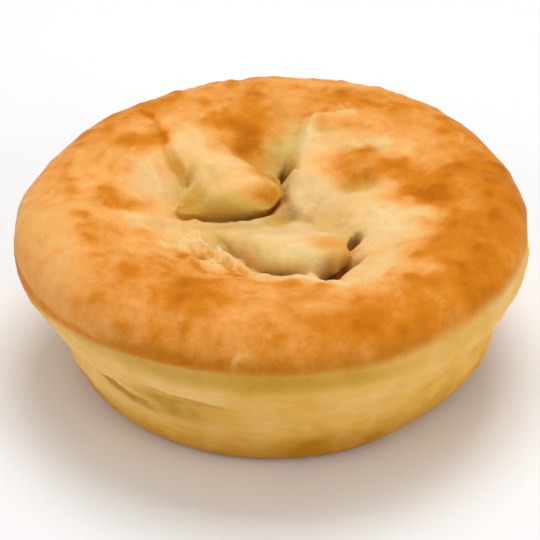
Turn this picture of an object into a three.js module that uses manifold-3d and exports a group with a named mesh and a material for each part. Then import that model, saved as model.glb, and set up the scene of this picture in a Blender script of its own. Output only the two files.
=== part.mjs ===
// A single-serve beef and mushroom pie: a filled pastry case, solid because it is uncut, and a puffed
// pastry lid that was slit twice before baking, so that two tongues of pastry lift at its sunken
// middle. Millimetres, +Z up. The origin is the centre of the base, and -Y is the side to which the
// tongues open.
import * as THREE from "three";
import { mergeVertices } from "three/addons/utils/BufferGeometryUtils.js";
import Module from "manifold-3d";

const wasm = await Module();
wasm.setup();

// Driving dimensions
const LID_RADIUS = 57.3;
const PIE_HEIGHT = 42;
const LIP_HEIGHT = 32.6;
const BASE_FLAT_RADIUS = 39.3;
const BASE_EDGE_ROUND = 6.5;
const SIDE_LEAN = 25.4;
const SEAM_GAP = 0.3;

// The lid's crown: a crest round a sunken middle that lies a little to the front
const CREST_RADIUS = 45;
const MIDDLE_CENTRE = [0, -3];
const MIDDLE_RADIUS = 19;
const MIDDLE_REACH = 42;
const MIDDLE_SAG = 5;

// The case's upper edge: a thick rim, widest just under the lid
const CASE_WIDEST_RADIUS = 57.4;
const CASE_WIDEST_HEIGHT = 29.4;
const CASE_RIM_RADIUS = 56.7;
const CASE_RIM_HEIGHT = 31.3;

// How finely the round forms are divided
const CASE_SEGMENTS = 72;
const LID_SEGMENTS = 96;
const RING_STEP = 1.5;
const SHOULDER_STEPS = 9;
const SIDE_STEPS = 12;
const CURVE_SAMPLES = 40;

const PASTRY_BROWN = 0xd98f43;
const PASTRY_PALE = 0xd8ac66;

// Slits that free the tongues, walked with the tongue on the left hand
const SLITS = [
  {
    path: [[-20.3, -4.3], [-13.2, -5], [-5.5, -3.2], [0.7, 1.5], [2.1, 10], [3.3, 18.4]],
    width: 1.6,
    lift: 3.6,
    reach: 17,
  },
  {
    path: [[-2.5, -25], [5, -27], [11.5, -25.2], [16.2, -20.5], [16.5, -15.5], [18.2, -10.5]],
    width: 1.5,
    lift: 2.8,
    reach: 13,
  },
];
const BELLY_ROUND = 3.6;
const BANK_DROP = 1;
const BANK_REACH = 7;

// Folds pressed into the lid where the sheet creased as it sank
const CREASES = [
  { path: [[3.3, 18.4], [3.6, 24.5], [5.4, 34]], depth: 1.9, width: 2.6 },
  { path: [[-23.4, 18.7], [-20.4, 12.5], [-19, 4.6], [-20.3, -4.3]], depth: 1.9, width: 2.4 },
  { path: [[-13.8, -8], [-9.3, -12], [-5.8, -17], [-2.5, -25]], depth: 1.5, width: 2.2 },
];

// Blisters, swellings and hollows of the lid: centre, half sizes, turn in degrees and rise
const SWELLINGS = [
  { at: [20.5, 15.3], half: [7, 5], turn: -10, rise: 1.9 },
  { at: [-6.5, 31], half: [11, 6], turn: 10, rise: 1 },
  { at: [7.8, 24], half: [3, 8], turn: 8, rise: 1.3 },
  { at: [-26.5, 5.5], half: [4, 9], turn: 20, rise: 1.3 },
  { at: [-15, -19], half: [3, 3], turn: 0, rise: -0.8 },
  { at: [-12, 13], half: [8, 7], turn: 0, rise: 0.8 },
  { at: [27, -8], half: [5, 14], turn: 12, rise: 0.8 },
];

// Unevenness of the lid's outline and crest, by waves round the pie
const LID_OUTLINE_WAVES = [
  { waves: 3, size: 0.35, peak: 70 },
  { waves: 5, size: 0.25, peak: 20 },
];
const CREST_WAVES = [
  { waves: 3, size: 0.5, peak: 80 },
  { waves: 5, size: 0.5, peak: 88 },
  { waves: 7, size: 0.25, peak: 12 },
];

// The case's side: its rim stands proud above a ledge, most of all at the front left
const LEDGE_HEIGHT = 25;
const LEDGE_PROUD = 0.9;
const LEDGE_FACES = 235;
const CASE_WAVES = [
  { waves: 2, size: 0.3, peak: 80 },
  { waves: 5, size: 0.25, peak: 30 },
  { waves: 9, size: 0.15, peak: 5 },
];

const { smoothstep, degToRad, lerp } = THREE.MathUtils;

// Sum of waves round the pie at an angle in radians
function unevenness(waves, angle) {
  return waves.reduce(
    (sum, w) => sum + w.size * Math.cos(w.waves * (angle - degToRad(w.peak))),
    0,
  );
}

// How far the lid's middle has sunk at a plan point
function sagAt(x, y) {
  const fromMiddle = Math.hypot(x - MIDDLE_CENTRE[0], y - MIDDLE_CENTRE[1]);
  return MIDDLE_SAG * (1 - smoothstep(fromMiddle, MIDDLE_RADIUS, MIDDLE_REACH));
}

// A smooth curve through plan points, as points with the share of the way along it
function walk(path) {
  const curve = new THREE.SplineCurve(path.map(([x, y]) => new THREE.Vector2(x, y)));
  return Array.from({ length: CURVE_SAMPLES + 1 }, (_, i) => {
    const share = i / CURVE_SAMPLES;
    return { share, point: curve.getPoint(share), tangent: curve.getTangent(share) };
  });
}

// Nearest step of a walk to a plan point, with its distance, positive on the left hand
function nearest(steps, x, y) {
  let best = null;
  for (const step of steps) {
    const dx = x - step.point.x;
    const dy = y - step.point.y;
    const distance = Math.hypot(dx, dy);
    if (!best || distance < Math.abs(best.distance)) {
      const left = step.tangent.x * dy - step.tangent.y * dx >= 0;
      best = { share: step.share, distance: left ? distance : -distance };
    }
  }
  return best;
}

const slitWalks = SLITS.map((slit) => ({ ...slit, steps: walk(slit.path) }));
const creaseWalks = CREASES.map((crease) => ({ ...crease, steps: walk(crease.path) }));

// The tongue's free edge rises in a round belly, and the bank across the slit drops a little
function tongueHeight({ steps, lift, reach }, x, y) {
  const { share, distance } = nearest(steps, x, y);
  const free = smoothstep(share, 0, 0.15) * (1 - smoothstep(share, 0.7, 1));
  const slitHeight = -BANK_DROP * (1 - smoothstep(Math.abs(distance), 0, BANK_REACH));
  if (distance < 0) return free * slitHeight;
  const belly = Math.sin((Math.min(distance / BELLY_ROUND, 1) * Math.PI) / 2);
  return free * (slitHeight + lift * belly * (1 - smoothstep(distance, 0.3 * reach, reach)));
}

function creaseHeight({ steps, depth, width }, x, y) {
  const { distance } = nearest(steps, x, y);
  return -depth * Math.exp(-((distance / width) ** 2));
}

function swellingHeight({ at, half, turn, rise }, x, y) {
  const along = new THREE.Vector2(x - at[0], y - at[1]);
  along.rotateAround(new THREE.Vector2(), degToRad(-turn));
  return rise * Math.exp(-((along.x / half[0]) ** 2 + (along.y / half[1]) ** 2));
}

// Everything that stands above or below the lid's plain crown at a plan point
function lidRelief(x, y) {
  const sum = (items, height) => items.reduce((h, item) => h + height(item, x, y), 0);
  const nearRim = smoothstep(Math.hypot(x, y), MIDDLE_RADIUS, CREST_RADIUS);
  return (
    sum(slitWalks, tongueHeight) +
    sum(creaseWalks, creaseHeight) +
    sum(SWELLINGS, swellingHeight) +
    nearRim * unevenness(CREST_WAVES, Math.atan2(y, x))
  );
}

// A turned body about +Z. shape(x, y, z, step) moves each point of the numbered profile step.
function turned(profile, segments, shape) {
  const points = profile.map(([radius, height]) => new THREE.Vector2(radius, height));
  const geometry = new THREE.LatheGeometry(points, segments).rotateX(Math.PI / 2);
  const position = geometry.getAttribute("position");
  for (let i = 0; i < position.count; i++) {
    const from = [position.getX(i), position.getY(i), position.getZ(i)];
    position.setXYZ(i, ...shape(...from, i % points.length));
  }
  geometry.deleteAttribute("normal");
  geometry.deleteAttribute("uv");
  return mergeVertices(geometry, 1e-4);
}

function solidOf(geometry) {
  const merged = mergeVertices(geometry, 1e-4);
  return new wasm.Manifold(
    new wasm.Mesh({
      numProp: 3,
      vertProperties: merged.getAttribute("position").array,
      triVerts: new Uint32Array(merged.index.array),
    }),
  );
}

function geometryOf(solid) {
  const { vertProperties, triVerts } = solid.getMesh();
  const geometry = new THREE.BufferGeometry();
  geometry.setAttribute("position", new THREE.BufferAttribute(vertProperties, 3));
  geometry.setIndex(new THREE.BufferAttribute(triVerts, 1));
  geometry.computeVertexNormals();
  return geometry;
}

// A profile's run of points between two ends, end points included
function run(steps, pointAt) {
  return Array.from({ length: steps + 1 }, (_, i) => pointAt(i / steps));
}

// The lid lies flat on the case, so the seam between them is level
const LID_SEAT_HEIGHT = CASE_RIM_HEIGHT + SEAM_GAP;
function lidGeometry() {
  const underside = [
    [0, LID_SEAT_HEIGHT],
    [CASE_RIM_RADIUS, LID_SEAT_HEIGHT],
  ];
  const shoulder = run(SHOULDER_STEPS, (t) => [
    CREST_RADIUS + (LID_RADIUS - CREST_RADIUS) * Math.cos((t * Math.PI) / 2),
    LIP_HEIGHT + (PIE_HEIGHT - LIP_HEIGHT) * Math.sin((t * Math.PI) / 2),
  ]);
  const ringCount = Math.round(CREST_RADIUS / RING_STEP);
  const middle = run(ringCount, (t) => [CREST_RADIUS * (1 - t), PIE_HEIGHT]);
  const profile = [...underside, ...shoulder, ...middle.slice(1)];
  return turned(profile, LID_SEGMENTS, (x, y, z, step) => {
    const radius = Math.hypot(x, y);
    const outward = smoothstep(radius, CREST_RADIUS, LID_RADIUS);
    const grown = 1 + (outward * unevenness(LID_OUTLINE_WAVES, Math.atan2(y, x))) / LID_RADIUS;
    const onTop = step >= underside.length;
    const relief = (1 - outward) * lidRelief(x, y) - sagAt(x, y);
    return [x * grown, y * grown, onTop ? z + relief : z];
  });
}

// A thin curved prism along a slit, pointed at both ends
function slitCutter({ steps, width }) {
  const side = (sign) =>
    steps.map(({ point, tangent, share }) => {
      const half = (sign * width * Math.sin(Math.PI * Math.min(Math.max(share, 0.03), 0.97))) / 2;
      return new THREE.Vector2(point.x - tangent.y * half, point.y + tangent.x * half);
    });
  const outline = new THREE.Shape([...side(-1), ...side(1).reverse()]);
  const prism = new THREE.ExtrudeGeometry(outline, { depth: PIE_HEIGHT, bevelEnabled: false });
  prism.translate(0, 0, PIE_HEIGHT / 2);
  prism.deleteAttribute("normal");
  prism.deleteAttribute("uv");
  return solidOf(prism);
}

function slitLidGeometry() {
  const slits = slitWalks.map(slitCutter);
  const lid = slits.reduce((body, slit) => body.subtract(slit), solidOf(lidGeometry()));
  return geometryOf(lid);
}

// The case's outer side, from the round of its base, which ends at the side's lean, to its rim
const ROUND_SWEEP = degToRad(90 - SIDE_LEAN);
const baseRound = (angle) => [
  BASE_FLAT_RADIUS + BASE_EDGE_ROUND * Math.sin(angle),
  BASE_EDGE_ROUND * (1 - Math.cos(angle)),
];
const SIDE_FOOT = baseRound(ROUND_SWEEP);
function caseGeometry() {
  const round = run(5, (t) => baseRound(t * ROUND_SWEEP));
  const side = run(SIDE_STEPS, (t) => [
    lerp(SIDE_FOOT[0], CASE_WIDEST_RADIUS, t),
    lerp(SIDE_FOOT[1], CASE_WIDEST_HEIGHT, t),
  ]);
  const outside = [[0, 0], ...round, ...side.slice(1), [CASE_RIM_RADIUS, CASE_RIM_HEIGHT]];
  const profile = [...outside, [0, CASE_RIM_HEIGHT]];
  return turned(profile, CASE_SEGMENTS, (x, y, z, step) => {
    const onSide = step < outside.length && z > 0;
    if (!onSide) return [x, y, z];
    const angle = Math.atan2(y, x);
    const radius = Math.hypot(x, y);
    const rise = smoothstep(z, 0, BASE_EDGE_ROUND);
    const faces = 0.5 + 0.5 * Math.cos(angle - degToRad(LEDGE_FACES));
    const under = smoothstep(z, BASE_EDGE_ROUND, LEDGE_HEIGHT - 2);
    const recess = LEDGE_PROUD * faces * under * (1 - smoothstep(z, LEDGE_HEIGHT - 2, LEDGE_HEIGHT + 2));
    const grown = 1 + (rise * unevenness(CASE_WAVES, angle) - recess) / radius;
    return [x * grown, y * grown, z];
  });
}

function piece(name, geometry, color, roughness) {
  const material = new THREE.MeshStandardMaterial({ color, roughness, metalness: 0 });
  const mesh = new THREE.Mesh(geometry, material);
  mesh.name = name;
  return mesh;
}

const pie = new THREE.Group();
pie.add(piece("pastry_case", caseGeometry(), PASTRY_PALE, 0.7));
pie.add(piece("pastry_lid", slitLidGeometry(), PASTRY_BROWN, 0.5));

export default pie;
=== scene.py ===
import math

import bpy
import numpy as np
from bpy.props import FloatProperty, FloatVectorProperty, IntProperty, PointerProperty
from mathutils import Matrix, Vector, noise


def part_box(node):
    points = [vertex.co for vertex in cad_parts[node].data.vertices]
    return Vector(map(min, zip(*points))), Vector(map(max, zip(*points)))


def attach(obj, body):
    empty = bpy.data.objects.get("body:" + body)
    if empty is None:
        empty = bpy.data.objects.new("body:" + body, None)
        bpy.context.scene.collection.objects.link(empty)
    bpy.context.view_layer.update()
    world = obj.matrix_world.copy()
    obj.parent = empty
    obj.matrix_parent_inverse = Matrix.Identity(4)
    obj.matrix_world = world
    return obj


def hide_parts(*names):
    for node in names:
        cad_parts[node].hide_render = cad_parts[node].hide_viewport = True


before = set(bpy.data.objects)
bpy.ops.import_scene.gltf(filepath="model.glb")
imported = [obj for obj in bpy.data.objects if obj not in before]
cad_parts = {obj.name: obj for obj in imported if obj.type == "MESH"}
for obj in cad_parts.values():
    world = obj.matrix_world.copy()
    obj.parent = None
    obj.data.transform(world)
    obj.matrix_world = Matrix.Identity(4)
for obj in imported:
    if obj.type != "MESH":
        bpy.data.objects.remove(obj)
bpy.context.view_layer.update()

bl_info = {
    "name": "Beef and mushroom pie",
    "version": (1, 0, 0),
    "blender": (4, 5, 0),
    "location": "3D View > Sidebar > Pie",
    "description": "Dresses the two solids of a single-serve pie in baked pastry",
    "category": "Add Mesh",
}

MM = 0.001
LID_LOW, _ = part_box("pastry_lid")
BODY = "root"
SEED = 7
SMOOTH_ANGLE = math.radians(60)
# Edge of a patch, as shares of its half size, and the degrees over which values round the pie are eased
PATCH_EDGE = (0.3, 1.4)
ROUND_EASING = 25

# The lid's plan is in millimetres from the pie's axis: +X right, -Y front.
# Slits are walked with the tongue that they free on the left hand.
# gape: share of the way along and how far the slit is open there
# face_shade_strength: how much olive shade is painted on the tongue's face
# falls: the Y where the tongue starts to sink into the lid and where it has sunk
# thins: the X from and to which it gets thinner, and by what share
# ridges: lines on whose left hand the tongue falls away, by what share and over what width
TONGUES = (
    {
        "path": (
            (-25.6, 20.4), (-23, 15.8), (-21, 11), (-20.8, 7), (-22.2, 2.5), (-23.6, -1.4), (-22, -4.4),
            (-13.4, -4.8), (-6.8, -3.7), (-1.6, -1.7), (1.9, 1.2), (1.9, 5), (1.5, 9.2), (1.8, 13.2),
            (2.7, 19.4),
        ),
        "gape": (
            (0, 0), (0.1, 0.2), (0.15, 0.3), (0.21, 0.2), (0.33, 0.1), (0.39, 0.5), (0.5, 0.8), (0.6, 0.9),
            (0.86, 0.9), (1, 0),
        ),
        "lift": 4.8,
        "face_shade_strength": 1,
        "falls": (1, 25),
        "thins": (-13, 1, 0.7),
        "ridges": (
            (((-13, 22), (-7.5, 15), (-3, 9), (0.6, 2.6)), 0.85, 6),
            (((-11.5, -5), (-13.5, 1), (-16.6, 6.4), (-19.8, 12), (-24, 18.5)), 0.65, 6),
        ),
    },
    {
        "path": (
            (-15, -9.4), (-12, -14.8), (-8.6, -19.8), (-5.6, -23.2), (-2.6, -25.2), (1.5, -26.2),
            (5.4, -26.4), (9.5, -26.4), (13, -25.8), (16.4, -23.8), (18, -20.6), (17, -16.8), (17, -13.6),
            (18.4, -11.2),
        ),
        "gape": (
            (0, 0), (0.08, 0.3), (0.2, 0.5), (0.33, 0.5), (0.46, 0.8), (0.52, 0.6), (0.57, 0.35), (0.62, 0.4),
            (0.69, 0.9), (0.76, 0.7), (0.82, 0.3), (0.88, 0.4), (0.95, 0.8), (1, 0),
        ),
        "lift": 3.6,
        "face_shade_strength": 0.55,
        "falls": (-21, -6),
        "thins": (8, 18, 0.2),
        "ridges": ((((-9, -6), (4, -8), (20, -9)), 0.85, 6),),
    },
)

# Section across a slit: offset on the flat sheet, offset once baked, depth of the gap, share of the lift
FOLD_ROWS = (
    (-6, -6, 0, 0),
    (-3.4, -3, -0.05, 0),
    (-2, -1.4, -0.25, 0),
    (-1.1, -0.3, -0.8, 0),
    (-0.4, 0.8, -1.6, 0),
    (0.2, 1.6, -2.2, 0),
    (0.7, 1.7, -1.8, 0.03),
    (1.2, 1.3, -0.9, 0.09),
    (1.9, 0.5, -0.25, 0.22),
    (2.6, 0, -0.05, 0.36),
    (3.2, -0.15, 0, 0.5),
    (3.9, 0.2, 0, 0.7),
    (4.7, 1.1, 0, 0.87),
    (5.6, 2.5, 0, 0.96),
    (7, 5, 0, 1),
    (9.5, 9.5, 0, 1),
)
FOLD_STEP = 0.05
FOLD_REACH = 12
FOLD_SMOOTHING = 0.7
# Offsets across a slit between which a tongue's face shows, the lid's floor ends and its shelter ends
TONGUE_FACE = (-0.5, 1, 4, 8)
FLOOR_ENDS = (0, 0.6)
SHELTER_ENDS = (0.6, 2)
# The gape from which a tongue's face carries its full painted shade
OPEN_GAPE = 0.6

# Swellings and hollows: centre, half sizes, turn in degrees, rise
LID_SWELLINGS = (
    ((20.6, 13.6), (7, 5), -10, 2.4),
    ((-5.2, 25.7), (7, 6), 10, 1.6),
    ((-1, 34), (8, 5), 10, 1),
    ((-27.4, 3.4), (4.5, 11), 12, 1.8),
    ((7.4, 4.4), (5.2, 5.4), 0, 2.8),
    ((2.8, -3.2), (3, 2.4), 10, -1.5),
    ((24.5, -10), (6.5, 15), 12, 2),
    ((11.6, -2.6), (4.6, 7), 30, -3),
    ((-16.2, -19.5), (2.6, 2.4), 20, -1.6),
    ((-18, -5.6), (2, 1), 5, 0.9),
    ((13.6, -29.8), (4.6, 3.4), 20, -2.7),
    ((-19.6, 10.4), (1.6, 2.2), 20, -0.6),
    ((0, 47), (22, 8), 0, -0.8),
    ((-32, 36), (13, 7), -42, -0.5),
    ((-21, -9), (6, 2.2), -18, 0.8),
    ((-9, -21.5), (3, 2), -30, 0.7),
    ((-9, 11), (6, 6), -35, 0.5),
    ((-16.5, 3.5), (3, 4), 0, -0.7),
    ((-10.8, 5.5), (1.6, 4.5), 0, 0.5),
    ((2, -16), (9, 4), 0, 0.4),
    ((-17, 27), (7, 4.5), 30, 0.8),
    ((33, 6), (6, 8), 0, -0.5),
)

# Ridges and creases: path, half width, rise
LID_RIDGES = (
    (((8, 29), (6, 21.1), (5.4, 13.2), (5.8, 8)), 2.6, 2.2),
    (((12.7, 25.6), (20.1, 24.6), (26.4, 19), (29, 13)), 2.6, 1.1),
    (((9, 28.5), (10, 30.8), (13.9, 31.6), (17.8, 32.4)), 1.1, 0.7),
    (((11, 28.6), (15, 28.4), (19, 28.2)), 0.9, -0.6),
    (((-13, 22), (-7.5, 15), (-3, 9), (0.6, 2.6)), 2.4, 1),
    (((-15.7, -36), (-5.3, -31.5), (7.5, -32.4), (19, -35.4)), 3, 0.8),
    (((3.3, 16), (3.9, 25.4), (5.2, 34.5)), 3.2, -1.4),
    (((-7, 19), (-2, 15.5), (2, 14)), 3, -1),
    (((-27, 22.4), (-24.4, 19), (-22.6, 15), (-20.8, 10.6), (-19.8, 8)), 1.2, -0.8),
    (((13.4, 12), (15.6, 7.6), (22, 6.4)), 2, -0.7),
    (((3, 9), (2.2, 3.4), (3, -1.4), (7.6, -3)), 1.2, -1.3),
    (((-14.4, 12.4), (-14.2, 8.5), (-13.8, 4.6)), 0.8, -0.8),
    (((-20, -14.5), (-15.5, -14.4), (-11.8, -16.6), (-10, -20.5)), 0.8, 0.8),
    (((-18.6, -22.5), (-15, -24), (-11.5, -24.6)), 0.8, 0.6),
    (((-28.5, 14), (-27, 9), (-25.2, 2)), 0.9, 0.5),
    (((-31, 34.3), (-28.3, 30.6), (-26.4, 26.9), (-24.7, 21.5)), 0.9, -0.5),
    (((-33, 13), (-29, 8.6), (-24.5, 3.4)), 1.4, 0.6),
    (((-35, 5), (-30, 2.4), (-25, -1.6)), 1.4, 0.5),
    (((-33, -8.5), (-26, -8), (-20, -8.4)), 1.8, 0.6),
    (((4.8, -28), (9.1, -30.9), (12.5, -34.3), (14.8, -37.3)), 1, 0.5),
)

# Where a slit gapes into a hole, darkened with painted shade: centre, half sizes, turn, depth and how far it
# notches the tongue
LID_HOLES = (
    ((1.9, 15.2), (2, 3.2), -10, 4, 0.2),
    ((11.6, -26.1), (2, 1.9), 15, 4.4, 0.95),
    ((15.6, -23.9), (3.4, 1.1), 38, 2, 0.75),
    ((17.4, -13), (1.2, 2), -30, 3, 0),
)

# Where the pale sunken middle gives way to the browned rim: angle and radius
PALE_LIMITS = (
    (0, 30), (10, 26), (22, 27), (40, 32), (60, 29), (80, 24), (100, 22), (122, 32), (150, 31), (180, 32),
    (205, 31), (225, 26), (245, 27), (265, 30), (280, 31), (291, 37), (302, 42), (312, 37), (322, 33),
    (334, 33), (350, 35),
)
# How far inside that limit the brown sets in, and over what width: angle and width
PALE_LEAD = 1.5
PALE_FADES = ((0, 6), (290, 5), (312, 8), (326, 14), (336, 10), (346, 7))
# How brown the rim is round the pie, paler on the left partly as painted sheen: angle and browning
RIM_TONES = (
    (0, 0.76), (30, 0.64), (60, 0.53), (90, 0.52), (120, 0.57), (150, 0.52), (180, 0.38), (210, 0.43),
    (240, 0.54), (270, 0.52), (300, 0.64), (330, 0.72),
)
# How brown the pale middle is
DOUGH_BROWNING = 0.14
# How much browner the lip is than the rim: angle and change of browning
LIP_TONES = (
    (0, 0.04), (90, 0.1), (180, 0), (200, 0.02), (222, -0.02), (236, -0.06), (250, 0.08), (262, 0.2),
    (284, 0.18), (296, 0.06), (311, -0.02), (324, -0.02), (340, -0.04),
)
# Heights over the lip's widest line between which that ends
LIP_TONE_HEIGHTS = (2, 8)
# How much browner the line is with which the brown ends at the lip's foot: angle and change
LIP_LINES = ((0, 0), (190, 0.1), (210, 0.18), (240, 0.14), (256, 0.04), (280, 0))
# Heights over the foot of the brown between which the line ends
LIP_LINE_HEIGHTS = (1.6, 4)
# How far the lid's outline stands out from a true round: angle and millimetres
LID_OUTLINE = (
    (0, -0.9), (25, -0.7), (45, 0.2), (60, 0.4), (80, -0.3), (100, -0.6), (118, -1.7), (128, -2.1),
    (136, -1.2), (150, -2), (163, -1.2), (175, 0.4), (188, 1.1), (205, 0.7), (225, -0.3), (250, 0),
    (270, 0.2), (300, 0), (330, -0.6),
)
# How much browner than the rim the brown is where it reaches down the case
EDGE_BROWNER = 0.2
# How low the brown reaches down the pie's edge: angle and height
BROWN_FOOT = (
    (0, 33.6), (30, 33), (90, 32.5), (150, 31), (180, 29.5), (200, 28.6), (218, 30.2), (232, 31.2),
    (244, 32.5), (256, 33.4), (276, 33.6), (290, 33.5), (302, 34.2), (311, 34.7), (321, 34.8), (334, 34.2),
)
# Half the height over which it fades there
BROWN_FADE = ((0, 1.6), (90, 1), (200, 1), (240, 0.8), (285, 1.2), (300, 1.6), (320, 2))
# Where the dough is tinted olive, mostly painted shade in the shelter of a fold: centre, half sizes, turn,
# strength
LID_OLIVE_SHADE = (
    ((-4, 19), (8, 5.4), -40, 0.9),
    ((4.2, 25), (3.4, 10), 6, 0.55),
    ((2.7, 15.2), (3.4, 5), -10, 1),
    ((-22.4, 14.6), (2.2, 5), 25, 1),
    ((-10, -8), (9, 2.4), 5, 0.6),
    ((0.5, -5), (4.5, 3), 20, 1),
    ((11, -4), (5.5, 6), 20, 0.4),
    ((3.4, -3.4), (3, 2.6), 0, 0.8),
    ((-18.2, 0.6), (3.8, 6.4), 15, 1),
    ((18.6, 8), (5.4, 3), 5, 0.9),
    ((20, 18.8), (5, 1.7), -20, 0.6),
    ((12.6, 27), (4.6, 1.7), 0, 0.7),
    ((-11.4, -14.2), (2, 6), 33, 0.8),
    ((-16.2, -19.5), (2.6, 2.4), 20, 1),
    ((-19.6, 10.4), (1.8, 2.6), 20, 1),
    ((-20.8, 5), (2.6, 8), 5, 0.6),
    ((-16.5, 3.5), (3.6, 4), 0, 0.35),
    ((-1.5, 10.5), (4.5, 4), -30, 0.7),
    ((1.4, 22), (5, 6), 0, 0.9),
    ((1.5, 31), (3, 5), 0, 0.5),
    ((-1.4, 2.6), (6.4, 4), 25, 0.6),
    ((12.8, -19.4), (5.4, 5), 0, 0.35),
    ((16.6, -10.4), (4, 3.4), 20, 0.6),
)
# Where the dough is greyer: pale steamed dough, with painted shade in the sunken middle: centre, half sizes,
# turn, strength
LID_DAMP_AND_SHADE = (
    ((11, -4), (6, 8), 20, 0.8),
    ((8, 4.6), (5, 5.4), 0, 0.6),
    ((14, 4), (4.4, 6), 0, 0.6),
    ((0, -10.5), (10, 4.4), 0, 0.7),
    ((-6, -6.6), (11, 3), 6, 0.8),
    ((-27, 5), (6, 7), 0, 0.6),
    ((-25, -10), (6, 3), 0, 0.4),
)
# Where dark shade is painted in a slit or under a fold: centre, half sizes, turn, strength, height up to
# which it shows
LID_PAINTED_SHADES = (
    ((2.8, -1.4), (3.2, 3.4), 20, 0.42, 50),
    ((6, -3.6), (3, 2), 0, 0.2, 50),
    ((0.4, 19.4), (4, 4), 0, 0.16, 50),
    ((12.6, -25), (1.9, 1.8), 20, 0.95, 36.9),
    ((-1.8, -24.4), (1.3, 1), 0, 0.7, 36.6),
    ((15, -23.8), (2, 1.2), 40, 0.8, 37.6),
)
# Offsets from that height between which it fades
SHADE_FADE = (-0.6, 0.4)
# Depth of the groove between the lip and the case: angle and millimetres
GROOVE = ((0, 0), (170, 0), (215, 0.3), (240, 0.9), (270, 1.1), (288, 0.9), (304, 0))
GROOVE_HEIGHT = 31.6
GROOVE_HALF = 1.2
# Patches that are browner or paler, baked tones with some painted shade among them as marked: centre, half
# sizes, turn, change of browning
LID_TONES = (
    ((20.8, 14), (7.6, 5.8), -6, 0.62),
    ((16, 8.6), (3.8, 3), 0, 0.26),
    ((17, 19.2), (5.4, 3), -10, 0.3),
    ((12.6, 27), (4.6, 2), 0, -0.1),
    ((23.5, 26.2), (4.4, 2.6), 0, -0.3),
    ((13, 14), (3.6, 5), 0, 0.14),
    ((31, 0), (8, 4.4), -8, 0.3),
    ((28.5, -21), (7, 4.6), 0, 0.1),
    ((42, -8), (9, 4), 0, -0.12),
    ((25.4, 9), (4.4, 4), -6, 0.26),
    ((27.4, 18.6), (3, 2.2), 0, 0.16),
    ((-8, 26.5), (9, 6.5), 15, 0.36),
    ((0.8, 25), (4.6, 7), 0, -0.24),
    ((-1.4, 2.6), (6.4, 4), 25, 0.44),
    ((-35, 8), (4, 4), 0, 0.14),
    ((-31, 27), (7, 4), 30, -0.14),
    ((0, 32), (4, 4), 0, 0.06),
    ((-5, 26), (6, 5), 0, 0.06),
    ((-4.5, -0.6), (5, 2.8), 10, 0.2),
    ((-22.6, 14.6), (2.4, 5), 25, 0.08),
    ((-31, -4.5), (6, 4), 0, 0.1),
    ((-24, -8), (6, 3), 0, 0.14),
    ((-28.7, -31.8), (5, 4), 0, 0.12),
    ((25, 2), (5, 4), 0, 0.16),
    ((11.5, 17), (4, 5), 0, 0.1),
    ((-6.5, 9.6), (4, 3.4), 0, 0.1),
    ((-21, -1), (3.4, 4), 0, 0.12),
    # Browner face of the hollow beside the first tongue's ridge, partly painted shade
    ((-1.5, 10.5), (4.5, 4), -30, 0.36),
    ((-11, 4), (5, 4), 0, 0.1),
    ((-5.6, 19.4), (6, 5), -40, 0.24),
    ((12.8, -19.4), (6.2, 5.6), 0, 0.3),
    ((17, 25), (7, 3.4), 0, 0.14),
    ((-16.6, -38), (9, 6), 10, 0.3),
    ((-8.3, -27.4), (5, 3.4), 0, 0.3),
    ((-32, -35), (8, 5), 20, 0.06),
    ((-37.5, -2), (4, 5), 0, 0.28),
    ((-10, 22.6), (5, 4), 0, 0.14),
    ((-20.7, 26.5), (5, 4), 30, 0.1),
    ((29, -42), (7, 5), 30, 0.12),
    ((-7.5, -41), (5, 4), 0, 0.12),
    ((31, -30.6), (5, 3.6), 0, -0.26),
    ((11.2, -44.8), (6, 4), 0, -0.22),
    ((-16.4, -19.5), (3, 2.6), 20, 0.12),
    ((-29.8, -28.8), (3, 4.5), 0, 0.16),
    ((29.3, 14.2), (4.4, 3.6), 0, -0.1),
    ((8, 0), (6, 8), 0, -0.1),
    ((6, 5), (4, 5), 0, -0.1),
    # Painted shade on the first tongue's left slope
    ((-18.4, 0), (3.4, 6), 15, 0.1),
    ((5, -24), (8, 3), 0, -0.28),
    ((-13.6, -20.4), (10, 5.4), -50, 0.13),
    # Painted shade over the slopes left of the middle
    ((-24, -4), (8, 11), 0, 0.05),
    ((-33, -3.4), (6, 3.4), 0, 0.24),
    ((-37, -17), (6, 6), 0, 0.22),
    # Painted shade in a crease left of the middle
    ((-27, -14), (4, 3.4), 0, 0.2),
    ((-25.5, 12), (4, 5), 10, 0.2),
    ((-30.7, 20.8), (6, 4), 30, 0.18),
    ((36, -34.5), (5, 3.5), 0, 0.14),
    ((22, -41), (3, 3), 0, 0.1),
    ((22, -48.6), (4.6, 4.2), 15, 0.2),
    ((41, -23), (6, 6), 0, 0.12),
    ((14, -48), (9, 5), 0, 0.16),
    ((0, -54), (14, 2.5), 0, 0.1),
    ((26.5, 17), (5.5, 4.5), 0, -0.34),
    ((37, 12), (6, 4.5), 0, -0.16),
    ((20, 30.5), (6, 4), 0, -0.12),
    ((-5, 35), (8, 5), 0, 0.12),
    ((15, 40), (10, 4), 0, 0.12),
    ((5.7, 27.5), (3.5, 5), 0, -0.25),
    ((23, -36), (4.5, 4.5), 20, -0.12),
    ((32, 20), (7, 5), -35, -0.12),
    ((24, -8), (6, 14), 12, -0.08),
    ((3, -15), (8, 5), 0, -0.08),
    ((-28, 4), (6, 9), 10, 0.12),
    ((-33, 33), (12, 8), 45, 0.1),
    ((16.2, -38), (6, 3), -10, -0.12),
    ((-24, 28), (8, 4), 40, -0.1),
)
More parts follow.
